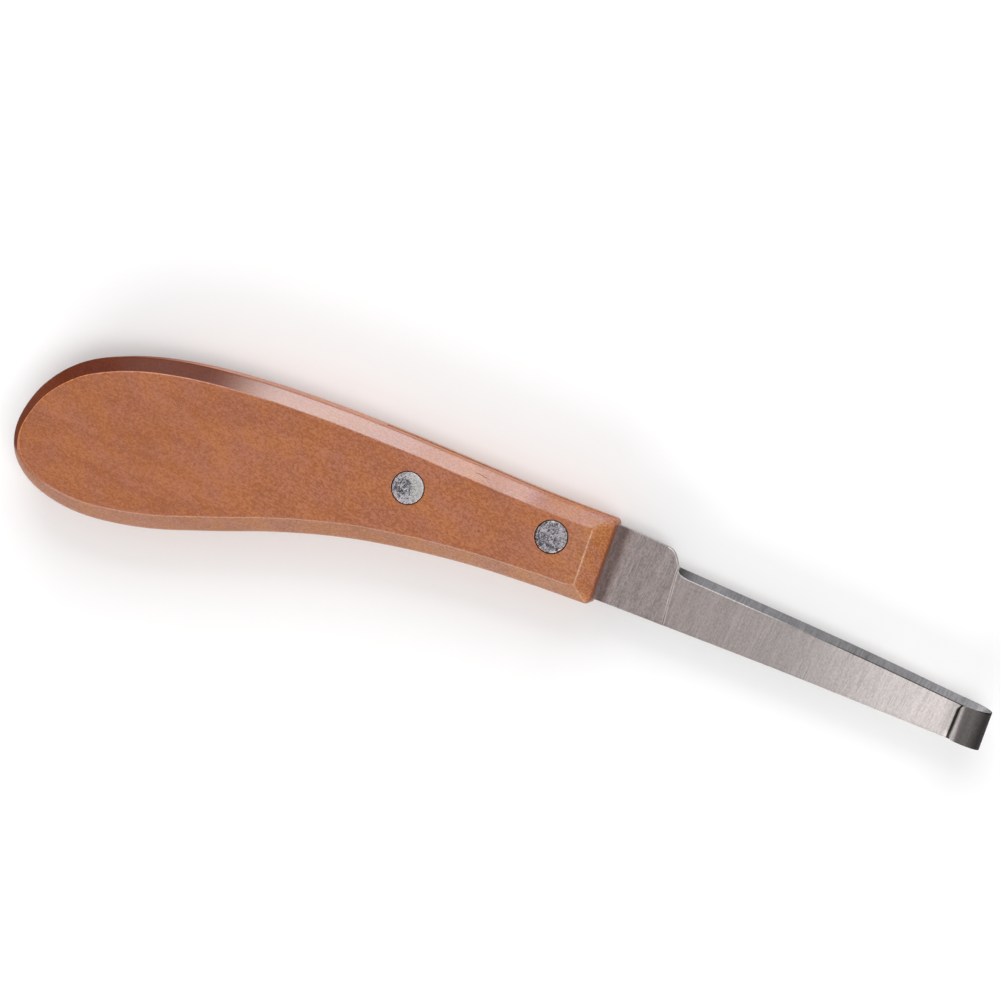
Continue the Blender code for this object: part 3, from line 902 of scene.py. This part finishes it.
def make_rivet_metal(name, place):
    """Peened aluminium: dark dents where it was struck, paler round them, rubbed bright on one side, with a
    painted highlight ring inside the rim and painted shade at its edge.
    """
    g = Graph(f"{name}_metal")
    offset = g.vector("MULTIPLY", g.vector("SUBTRACT", g.place, (*place, 0.0)), (1.0, 1.0, 0.0))
    radius = g.vector("LENGTH", offset)
    dented = g.fade(g.vector("LENGTH", g.vector("SUBTRACT", offset, (*STRUCK[name], 0.0))), 1.3, 2.6)
    blotch = g.noise(g.mapped(g.place, (0.8, 0.8, 0.8)), 3.0, 0.6, 0.5)
    spot = g.noise(g.mapped(g.place, (2.8, 1.6, 1.6), 30.0), 4.0, 0.8)
    tone = g.math("MULTIPLY_ADD", blotch, 1.6, g.math("MULTIPLY_ADD", spot, 3.2, -2.02))
    tone = g.math("MULTIPLY_ADD", dented, PALE_RING[name], tone)
    mottled = g.blend(g.fade(tone, 0.05, 0.95), *RIVET_TONES)
    side = g.vector("DOT_PRODUCT", offset, (0.22, 0.15, 0.0))
    bright = g.math("MULTIPLY", g.fade(g.math("MULTIPLY_ADD", tone, 0.3, side), 0.0, 0.75), RUBBED[name])
    colour = g.blend(bright, mottled, POLISHED_RIVET)
    # Painted highlight: a pale ring just inside the rim, and painted shade darkening the very edge of the
    # head.
    ring = g.near(radius, 3.5, 0.05, 0.2, 1.2, 1.0)
    colour = g.scaled(colour, g.math("MULTIPLY", ring, g.fade(radius, 3.62, 3.74, 1.0, 0.45)))
    roughness = g.math("MULTIPLY_ADD", spot, 0.3, 0.2)
    normal = g.bump(tone, 0.00012, 0.5)
    return g.finish(colour, roughness, normal, Metallic=1.0)


def make_floor_paint():
    """Pale paint with a faint grain."""
    g = Graph("pale_floor")
    grain = g.noise(g.mapped(g.place, (0.02, 0.02, 0.02)), 4.0, 0.6)
    colour = g.scaled(FLOOR_PAINT, g.math("MULTIPLY_ADD", grain, 0.02, 0.99))
    normal = g.bump(grain, 0.0002, 0.1)
    return g.finish(colour, 0.85, normal)


# ---------------------------------------------------------------- scene

def point_at(obj, place, target):
    """Put an object at a place, its -Z axis towards the target."""
    obj.location = place
    obj.rotation_mode = "QUATERNION"
    obj.rotation_quaternion = (Vector(target) - Vector(place)).to_track_quat("-Z", "Y")


def add_lights():
    """Large soft lights round the knife, all turned to its middle."""
    aim = (DATUM + Vector(LIGHTS_AIM)) * MM
    for name, (place, size, power) in LIGHTS.items():
        light = bpy.data.lights.new(name, "AREA")
        light.shape = "RECTANGLE"
        light.size, light.size_y = size
        light.energy = power
        obj = bpy.data.objects.new(name, light)
        obj.visible_camera = False
        point_at(obj, place, aim)
        bpy.context.scene.collection.objects.link(obj)


def add_camera():
    """The camera that sees the knife from its front side, with the tip down to the right."""
    data = bpy.data.cameras.new("camera")
    data.lens = LENS
    data.sensor_width = 36.0
    data.clip_start, data.clip_end = 0.05, 20.0
    camera = bpy.data.objects.new("camera", data)
    towards = Vector(CAMERA_DIRECTION).normalized()
    centre = (DATUM + Vector(PICTURE_MIDDLE)) * MM
    forward = Vector((1.0, 0.0, 0.0)) - towards * towards.x
    forward.normalize()
    sideways = towards.cross(forward)
    right = forward * math.cos(TIP_DOWN) + sideways * math.sin(TIP_DOWN)
    up = towards.cross(right)
    camera.matrix_world = Matrix.Translation(centre + towards * CAMERA_DISTANCE) @ Matrix(
        (right, up, towards)).transposed().to_4x4()
    bpy.context.scene.collection.objects.link(camera)
    bpy.context.scene.camera = camera


def add_world():
    """Pale light from all round, dimmer from the two ends of the knife."""
    world = bpy.data.worlds.new("studio")
    bpy.context.scene.world = world
    world.use_nodes = True
    nodes, links = world.node_tree.nodes, world.node_tree.links
    coordinates = nodes.new("ShaderNodeTexCoord")
    axes = nodes.new("ShaderNodeSeparateXYZ")
    links.new(coordinates.outputs["Generated"], axes.inputs[0])
    size = nodes.new("ShaderNodeMath")
    size.operation = "ABSOLUTE"
    links.new(axes.outputs[0], size.inputs[0])
    dim = nodes.new("ShaderNodeMapRange")
    dim.interpolation_type = "SMOOTHSTEP"
    links.new(size.outputs[0], dim.inputs[0])
    for socket, value in zip(list(dim.inputs)[1:5], (0.15, 0.85, WORLD_LIGHT, WORLD_LIGHT * 0.5)):
        socket.default_value = value
    links.new(dim.outputs[0], nodes["Background"].inputs["Strength"])
    nodes["Background"].inputs["Color"].default_value = (1.0, 1.0, 1.0, 1.0)


def add_floor():
    """A wide plain floor just under the knife."""
    half, height = 4000.0, -0.3
    corners = [(-half, -half, height), (half, -half, height), (half, half, height), (-half, half, height)]
    floor = new_object("floor", corners, [(0, 1, 2, 3)])
    floor.data.materials.append(make_floor_paint())


def add_handle():
    """The handle in its wood, standing in for the CAD's handle."""
    handle = make_handle()
    handle.data.materials.clear()
    handle.data.materials.append(make_wood())
    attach(handle, "root")
    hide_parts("handle")


def add_blade():
    """The blade in its three metals, with the rivets' holes cut through its tang."""
    blade = make_blade()
    for metal in (make_steel(), make_bevel_steel(), make_ridge_steel()):
        blade.data.materials.append(metal)
    cut(blade, [make_rivet_bore(place) for place in RIVETS.values()])
    shade(blade, 60)
    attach(blade, "root")
    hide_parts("blade")


def add_rivets():
    """Both halves of both rivets."""
    for number, (name, place) in enumerate(RIVETS.items()):
        metal = make_rivet_metal(name, place)
        relief = peening(2.7 + 11 * number)
        halves = {"socket": make_socket(name, place, relief), "stud": make_stud(name, place, relief)}
        for half, piece in halves.items():
            piece.data.materials.append(metal)
            shade(piece, 40)
            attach(piece, "root")
            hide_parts(f"{name}_{half}")


def main():
    """Set up the studio, then build the knife in it."""
    add_camera()
    add_world()
    add_floor()
    add_lights()
    add_handle()
    add_blade()
    add_rivets()
    bpy.context.scene.view_settings.view_transform = "Standard"
    bpy.context.scene.view_settings.look = "None"


main()
